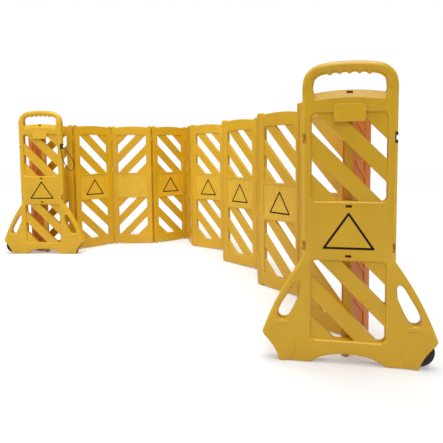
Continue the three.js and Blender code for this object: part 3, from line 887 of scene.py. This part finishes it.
def sloped_cutter():
    """What is cut from the top bar to leave its sloped, arched front."""
    chord = HALF_WIN - 0.006
    radius = (chord ** 2 + CROWN ** 2) / (2 * CROWN)
    front = -STAND_T / 2
    profile = ((radius - BEVEL_H, front), (radius + 0.006, front + BEVEL_T + 0.003),
               (radius + 0.006, front - 0.006), (radius - BEVEL_H, front - 0.006))
    reach = asin(chord / radius)
    rings = []
    for k in range(33):
        a = reach * (k / 16 - 1)
        rings.append([(r * sin(a), y, BAR_TOP - radius + r * cos(a)) for r, y in profile])
    return from_rings(rings, False)


def stand_mesh(settings):
    front, back = -STAND_T / 2, STAND_T / 2
    outline = stand_outline()
    windows = ((-HALF_WIN, HALF_WIN, BAND_HIGH, WIN_TOP), (-HALF_WIN, HALF_WIN, WIN_LOW, BAND_LOW))
    holes = [round_rect(*w, CORNER_R) for w in windows] + [brace_slot(1), brace_slot(-1)]
    body = plate(outline, holes, front, back, settings.stand_edge, 4)
    well = WHEEL_T / 2 + WELL_GAP
    cutters = [sloped_cutter()]
    for z in SNAP_Z:
        cutters.append(block(-SNAP_W / 2, SNAP_W / 2, front - PAST, back + PAST,
                             z - SNAP_H / 2, z + SNAP_H / 2))
    for x in (-WHEEL_X, WHEEL_X):
        cutters.append(drum(x, WHEEL_Z, -well, well, WHEEL_R + WELL_GAP))
    for sign, z in HOOK_POCKETS:
        x0, x1 = sorted((sign * (HALF_BODY - POCKET_X), sign * (HALF_BODY + PAST)))
        cutters.append(block(x0, x1, front - PAST, front + POCKET_Y, z - POCKET_Z / 2, z + POCKET_Z / 2))
    half = CLIP_Z / 2 + CLEAR
    cutters.append(block(HALF_BODY - CLIP_X - CLEAR, HALF_BODY + PAST, front - PAST, back + PAST,
                         POCKET_HIGH - half, POCKET_HIGH + half))
    parts = [boolean("stand_frame", body, cutters)]
    for x in (-WHEEL_X, WHEEL_X):
        ring = [(x + BOSS_R * cos(radians(5 * k)), WHEEL_Z + BOSS_R * sin(radians(5 * k))) for k in range(72)]
        face = outline
        for a, b in zip(ring, ring[1:] + ring[:1]):
            nx, nz = b[1] - a[1], a[0] - b[0]
            face = clip(face, nx, nz, nx * a[0] + nz * a[1])
        for y0, y1 in ((front - BOSS_T, -well), (well, back + BOSS_T)):
            parts.append(plate(soften(face, 0.004, 3), [], y0, y1, 0.0018, 4, inset=0.0012))
    for sign in (-1, 1):
        x0, x1 = sorted((sign * LEDGE[0], sign * LEDGE[1]))
        bar = round_rect(x0, x1, *LEDGE[2:], 0.006)
        for y0, y1 in ((front - BOSS_T, front + 0.002), (back - 0.002, back + BOSS_T)):
            parts.append(plate(bar, [], y0, y1, 0.0018, 4))
    deep = back - STAND_RECESS
    for w in windows:
        parts.append(plate(grown(w, OVERLAP, CORNER_R), window_gaps(w, settings.gap_corner), -deep, deep,
                           settings.bar_edge, 4))
    for sign, z in HOOK_POCKETS:
        x0, x1 = sorted((sign * (HALF_BODY - 0.004), sign * (HALF_BODY - 0.0003)))
        parts.append(plate(rectangle(x0, x1, z - TONGUE_H, z + TONGUE_H),
                           [], front + 0.004, front + POCKET_Y + 0.001, 0.0012, 2))
    parts.append(handle_mesh(settings))
    return fused("end_stand", parts)


class BARRIER_OT_stands(bpy.types.Operator):
    """Mould the two end stands with their handles, windows, braces, wheel wells and hook pockets"""

    bl_idname = "barrier.stands"
    bl_label = "End stands"

    def execute(self, context):
        settings = context.scene.barrier
        yellow = moulded_plastic("stand_plastic", settings.yellow, 0.34, 0.00010)
        mesh = stand_mesh(settings)
        for side in ("near", "far"):
            piece(f"{side}_stand_moulding", mesh, yellow, stand_place(side), f"{side}_stand",
                  [f"{side}_end_stand"])
        return {"FINISHED"}


class BARRIER_OT_badges(bpy.types.Operator):
    """Fit the bare plate on each stand's top bar"""

    bl_idname = "barrier.badges"
    bl_label = "Badge plates"

    def execute(self, context):
        settings = context.scene.barrier
        yellow = moulded_plastic("badge_plastic", shaded(settings.yellow, 1.04), 0.36, 0.00006)
        z0 = WIN_TOP - BADGE_DROP
        z1, w = z0 + BADGE_H, BADGE_W / 2
        outline = mirrored(
            [(0, z0), (w - 0.006, z0)] + quad((w - 0.006, z0), (w, z0), (w, z0 + 0.006), 5)
            + [(w + 0.002, z1 - 0.012)] + quad((w + 0.002, z1 - 0.012), (w + 0.001, z1 - 0.004),
                                               (w - 0.010, z1 - 0.002), 6)
            + [(0, z1 + 0.001)])
        back = -STAND_T / 2 - CLEAR
        mesh = fused("badge_plate", [plate(outline, [], back - BADGE_T, back, 0.0018, 3)])
        for side in ("near", "far"):
            piece(f"{side}_badge", mesh, yellow, stand_place(side), f"{side}_stand",
                  [f"{side}_badge_plate"])
        return {"FINISHED"}


class BARRIER_OT_rails(bpy.types.Operator):
    """Fit the hinge rail behind each stand, with its tabs through the snap windows"""

    bl_idname = "barrier.rails"
    bl_label = "Hinge rails"

    def execute(self, context):
        settings = context.scene.barrier
        yellow = moulded_plastic("rail_plastic", shaded(settings.yellow, 0.95), 0.46, 0.00012)
        y0 = STAND_T / 2 + CLEAR
        y1 = y0 + RAIL_T
        for side in ("near", "far"):
            face = rectangle(-RAIL_W / 2, RAIL_W / 2, RAIL_LOW, BAR_TOP)
            parts = [plate(soften(face, 0.004), [], y0, y1, 0.0012, 2)]
            for z in SNAP_Z:
                w, h = SNAP_W / 2 - CLEAR, SNAP_H / 2 - CLEAR
                parts.append(plate(rectangle(-w, w, z - h, z + h), [], 0.006, y0 + 0.001, 0.0006, 1))
            parts += knuckles(0, RAIL_AXIS, side == "far", (-0.004, 0.004),
                              (y1 - 0.001, RAIL_AXIS - PIN_R - 0.0008))
            piece(f"{side}_rail", fused(f"{side}_rail", parts), yellow, stand_place(side), f"{side}_stand",
                  [f"{side}_hinge_rail"])
        return {"FINISHED"}


class BARRIER_OT_clips(bpy.types.Operator):
    """Dress the cord clips and the wheel axles, which keep their CAD shape"""

    bl_idname = "barrier.clips"
    bl_label = "Clips and axles"

    def execute(self, context):
        settings = context.scene.barrier
        looks = {"cord_anchor": dark_plastic("clip_plastic", settings.black),
                 "wheel_axle": zinc_steel("axle_steel", settings.steel)}
        for side in ("near", "far"):
            for word, look in looks.items():
                node = frame["nodes"][f"{side}_{word}"]
                node.data.materials.clear()
                node.data.materials.append(look)
                weld = node.modifiers.new("weld", "WELD")
                weld.merge_threshold = 1e-5
                bevel = node.modifiers.new("soft edges", "BEVEL")
                bevel.width, bevel.segments, bevel.angle_limit = 0.0005, 2, radians(40)
        return {"FINISHED"}


def wheel_ring(half, sides, x):
    """A ring about the axle at x, from one half of its (radius, depth) profile."""
    ring = turned(half + [(radius, -y) for radius, y in reversed(half)], sides)
    return placed(ring, Matrix.Translation((x, 0, WHEEL_Z)) @ Matrix.Rotation(pi / 2, 4, "X"))


def tyre_mesh(x):
    t, r = WHEEL_T / 2, WHEEL_R
    outer = [(HUB_R + CLEAR, -t + 0.0010), (HUB_R + 0.0014, -t), (r - 0.009, -t), (r - 0.0085, -t + 0.0006),
             (r - 0.006, -t + 0.0006)]
    for k in range(1, 6):
        a = pi / 2 * k / 6
        outer.append((r - 0.006 + 0.006 * sin(a), -t + 0.0006 + 0.0054 * (1 - cos(a))))
    groove = [(r, -0.0042), (r - 0.0012, -0.0036), (r - 0.0012, -0.0022), (r, -0.0016)]
    return wheel_ring(outer + groove, 72, x)


def hub_mesh(x):
    t, web = WHEEL_T / 2 - 0.001, 0.006
    inner, boss = AXLE_R + CLEAR, AXLE_R + 0.006
    half = [(inner, -t), (boss - 0.001, -t), (boss, -t + 0.001), (boss + 0.001, -web + 0.002),
            (boss + 0.003, -web), (HUB_R - 0.005, -web), (HUB_R - 0.004, -web - 0.003),
            (HUB_R - 0.001, -web - 0.003),
            (HUB_R, -web - 0.002)]
    parts = [wheel_ring(half, 64, x)]
    spoke = rectangle(boss - 0.002, HUB_R - 0.003, -0.0016, 0.0016)
    for k in range(6):
        rib = plate(spoke, [], -web - 0.0026, web + 0.0026, 0.0006, 1)
        turn = Matrix.Translation((x, 0, WHEEL_Z)) @ Matrix.Rotation(pi * k / 3, 4, "Y")
        parts.append(placed(rib, turn))
    return fused("wheel_hub", parts)


class BARRIER_OT_wheels(bpy.types.Operator):
    """Turn the tyre and hub of the wheel in each stand's foot"""

    bl_idname = "barrier.wheels"
    bl_label = "Wheels"

    def execute(self, context):
        settings = context.scene.barrier
        rubber = black_rubber("tyre_rubber", settings.black)
        grey = dark_plastic("hub_plastic", settings.hub)
        for side, sign in (("near", 1), ("far", -1)):
            place = stand_place(side)
            tyre = fused(f"{side}_tyre", [tyre_mesh(sign * WHEEL_X)])
            piece(f"{side}_tyre", tyre, rubber, place, f"{side}_wheel", [f"{side}_wheel_tyre"])
            piece(f"{side}_hub", hub_mesh(sign * WHEEL_X), grey, place, f"{side}_wheel",
                  [f"{side}_wheel_hub"])
        return {"FINISHED"}


def panel_mesh(settings, width, closed):
    """A panel, or a closed link panel of half its width. x runs between its hinge axes, front at -y."""
    x0, x1, half = POST_W, width - POST_W, PANEL_BAND / 2
    windows = ((x0, x1, PANEL_RAIL, MID - half), (x0, x1, MID + half, PANEL_H - PANEL_RAIL))
    band = (x0 - 0.002, x1 + 0.002, MID - half + BAND_RIM, MID + half - BAND_RIM)
    holes = [round_rect(*w, CORNER_R) for w in windows] + [round_rect(*band, 0.010)]
    t = PANEL_T / 2
    frame_plate = plate(panel_outline(width), holes, -t, t, settings.panel_edge, 4)
    pockets = []
    for x_low, x_high, y_low, y_high, reach in (
        (-0.001, PANEL_END, t - PANEL_END, t + 0.001, KNUCKLE_OUT),
        (width - PANEL_END, width + 0.001, -t - 0.001, PANEL_END - t, KNUCKLE_IN),
    ):
        for z in (MID - reach, MID + reach):
            pockets.append(block(x_low, x_high, y_low, y_high,
                                 z - BARREL_L / 2 - 0.001, z + BARREL_L / 2 + 0.001))
    parts = [boolean("panel_frame", frame_plate, pockets)]
    parts.append(plate(grown(band, OVERLAP, 0.010), [], BAND_RECESS - t, t - BAND_RECESS, 0.001, 1))
    floor = t - PANEL_RECESS
    for w in windows:
        gaps = [] if closed else window_gaps(w, settings.gap_corner)
        parts.append(plate(grown(w, OVERLAP, CORNER_R), gaps, -floor, floor, settings.bar_edge, 4))
        if closed:
            cx, cz, step = (w[0] + w[1]) / 2, (w[2] + w[3]) / 2, (w[3] - w[2]) / 4 / sqrt(2)
            inside = round_rect(*w, CORNER_R)
            for k in (-1.5, -0.5, 0.5, 1.5):
                rib = slanting(inside, cx, cz, k * step - RIB_W / 2, k * step + RIB_W / 2)
                if len(rib) > 2:
                    parts.append(plate(soften(rib, 0.003), [], -floor - RIB_T, floor + RIB_T, 0.0015, 2))
    parts += knuckles(0, HINGE_OFF, False, (0, PANEL_END + 0.001), (t - 0.004, t))
    parts += knuckles(width, -HINGE_OFF, True, (width - PANEL_END - 0.001, width), (-t, 0.004 - t))
    return fused("link_panel" if closed else "panel", parts)


class BARRIER_OT_panels(bpy.types.Operator):
    """Mould the twelve barred panels, every second one turned end over end"""

    bl_idname = "barrier.panels"
    bl_label = "Panels"

    def execute(self, context):
        settings = context.scene.barrier
        yellow = moulded_plastic("panel_plastic", settings.yellow, 0.36, 0.00010)
        mesh = panel_mesh(settings, PITCH, False)
        for k in range(1, PANELS + 1):
            name = f"panel_{k:02d}"
            piece(f"{name}_moulding", mesh, yellow, panel_place(k), name, [name])
        return {"FINISHED"}


class BARRIER_OT_links(bpy.types.Operator):
    """Mould the two closed link panels between the stands and the row"""

    bl_idname = "barrier.links"
    bl_label = "Link panels"

    def execute(self, context):
        settings = context.scene.barrier
        # Painted shade: the link panels get the deeper orange of yellow plastic lit by bounced light.
        painted_shade_orange = moulded_plastic("link_shaded_plastic", settings.link, 0.44, 0.00014)
        mesh = panel_mesh(settings, PITCH / 2, True)
        for side, k in (("far", 0), ("near", PANELS + 1)):
            piece(f"{side}_link_moulding", mesh, painted_shade_orange, panel_place(k), f"{side}_link",
                  [f"{side}_link_panel"])
        return {"FINISHED"}


class BARRIER_OT_pins(bpy.types.Operator):
    """Turn the fifteen hinge pins"""

    bl_idname = "barrier.pins"
    bl_label = "Hinge pins"

    def execute(self, context):
        coating = moulded_plastic("pin_coating", context.scene.barrier.pin, 0.36, 0.00004)
        angles = [2 * pi * k / 20 for k in range(20)]
        low, high = PIN_INSET, PANEL_H - PIN_INSET
        stops = ((0.0012, low), (PIN_R, low + 0.0013), (PIN_R, high - 0.0013), (0.0012, high))
        rings = [[(r * cos(a), r * sin(a), z) for a in angles] for r, z in stops]
        mesh = fused("hinge_pin", [from_rings(rings, False)])
        for k in range(1, PANELS + 4):
            node = f"hinge_pin_{k:02d}"
            at = pin_place(k)
            body = next(name for name, nodes in frame["record"]["behaviour"]["bodies"].items() if node in nodes)
            piece(f"pin_{k:02d}", mesh, coating, Matrix.Translation((at.x, at.y, 0)), body, [node])
        return {"FINISHED"}


class BARRIER_OT_prints(bpy.types.Operator):
    """Print the plain triangle on the stands' and panels' centre bands"""

    bl_idname = "barrier.prints"
    bl_label = "Printed triangles"

    def execute(self, context):
        settings = context.scene.barrier
        ink = printed_ink("print_ink", settings.ink)
        outer, inner = triangle(*STAND_PRINT, settings.print_line)
        y = -STAND_T / 2
        mesh = fused("stand_triangle", [plate(outer, [inner], y - INK_OUT, y + INK_IN, 0.0001, 1)])
        for side in ("near", "far"):
            piece(f"{side}_triangle", mesh, ink, stand_place(side), f"{side}_stand")
        y = BAND_RECESS - PANEL_T / 2
        loops = triangle(*PANEL_PRINT, settings.print_line)
        for first, way, shift in ((2, 1, 0), (1, -1, PANEL_H)):
            outer, inner = ([(PITCH / 2 + x, shift + way * z) for x, z in loop] for loop in loops)
            mesh = fused("panel_triangle", [plate(outer, [inner], y - INK_OUT, y + INK_IN, 0.0001, 1)])
            for k in range(first, PANELS + 1, 2):
                piece(f"panel_{k:02d}_triangle", mesh, ink, panel_place(k), f"panel_{k:02d}")
        return {"FINISHED"}


class BARRIER_OT_stage(bpy.types.Operator):
    """Lay the floor, light the world and hang the lamps"""

    bl_idname = "barrier.stage"
    bl_label = "Floor and lamps"

    def execute(self, context):
        stage = context.scene.barrier_stage
        edge = rectangle(-FLOOR_HALF, FLOOR_HALF, FLOOR_Y - FLOOR_HALF, FLOOR_Y + FLOOR_HALF)
        mesh = from_rings([[(*corner, z) for corner in edge] for z in (-0.02, 0.0)], False)
        material, g = new_material("pale_floor")
        seen = g.seen_by("Camera", "Glossy", "Transmission")
        plain = g.add("ShaderNodeBsdfDiffuse", {}, {"Color": (stage.floor_tone,) * 3 + (1,)})
        lift = g.add("ShaderNodeEmission", {}, {"Color": (1, 1, 1, 1), "Strength": stage.lift})
        bright = g.add("ShaderNodeAddShader", {}, {0: plain, 1: lift})
        g.close(g.add("ShaderNodeMixShader", {}, {0: seen, 1: plain, 2: bright}))
        mesh.materials.append(material)
        floor = bpy.data.objects.new("floor", mesh)
        context.collection.objects.link(floor)

        world = bpy.data.worlds.new("plain_light")
        context.scene.world = world
        g = Graph(world, "ShaderNodeOutputWorld")
        seen = g.seen_by("Camera", "Transmission")
        even = g.add("ShaderNodeBackground", {}, {"Color": (1, 1, 1, 1), "Strength": stage.sky})
        white = g.add("ShaderNodeBackground", {}, {"Color": (1, 1, 1, 1), "Strength": 1.0})
        g.close(g.add("ShaderNodeMixShader", {}, {0: seen, 1: even, 2: white}))

        # Name, kind, strength, angle of a sun or width of an area lamp, place and direction
        for name, kind, energy, spread, at, way in (
            ("overhead", "SUN", stage.lamp, radians(40), (0, 0, 3), (-0.05, 0, -1)),
            ("front_top", "SUN", stage.lamp * 0.38, radians(20), (0, -3, 3), (-0.1, 0.8, -1)),
            ("from_the_left", "AREA", stage.side_lamp, 2.0, (-3.2, -2.6, 2.2), (3.1, 3.1, -1.7)),
            ("over_the_row", "AREA", stage.side_lamp * 0.5, 1.0, (0, -0.2, 2.3), (-0.2, 1.1, -1.7)),
        ):
            data = bpy.data.lights.new(name, kind)
            data.energy = energy
            setattr(data, "angle" if kind == "SUN" else "size", spread)
            lamp = bpy.data.objects.new(name, data)
            context.collection.objects.link(lamp)
            turn = Vector(way).to_track_quat("-Z", "Y").to_matrix().to_4x4()
            lamp.matrix_world = Matrix.Translation(at) @ turn
        context.scene.view_settings.view_transform = "Standard"
        return {"FINISHED"}


OPERATORS = (
    BARRIER_OT_camera, BARRIER_OT_loops, BARRIER_OT_stands, BARRIER_OT_badges, BARRIER_OT_rails,
    BARRIER_OT_clips, BARRIER_OT_wheels, BARRIER_OT_panels, BARRIER_OT_links, BARRIER_OT_pins,
    BARRIER_OT_prints, BARRIER_OT_stage,
)


class BARRIER_PT_tools(bpy.types.Panel):
    """Lists the settings and the steps that build the barrier"""

    bl_idname = "BARRIER_PT_tools"
    bl_label = "Folding barrier"
    bl_space_type = "VIEW_3D"
    bl_region_type = "UI"
    bl_category = "Barrier"

    def draw(self, context):
        for group in (context.scene.barrier, context.scene.barrier_stage):
            for name in group.__annotations__:
                self.layout.prop(group, name)
        for operator in OPERATORS:
            self.layout.operator(operator.bl_idname)


def register():
    for cls in (BarrierSettings, BarrierStage, *OPERATORS, BARRIER_PT_tools):
        bpy.utils.register_class(cls)
    bpy.types.Scene.barrier = bpy.props.PointerProperty(type=BarrierSettings)
    bpy.types.Scene.barrier_stage = bpy.props.PointerProperty(type=BarrierStage)


def unregister():
    del bpy.types.Scene.barrier_stage
    del bpy.types.Scene.barrier
    for cls in reversed((BarrierSettings, BarrierStage, *OPERATORS, BARRIER_PT_tools)):
        bpy.utils.unregister_class(cls)


def main():
    register()
    for operator in OPERATORS:
        getattr(bpy.ops.barrier, operator.bl_idname.split(".")[1])()


if __name__ == "__main__":
    main()
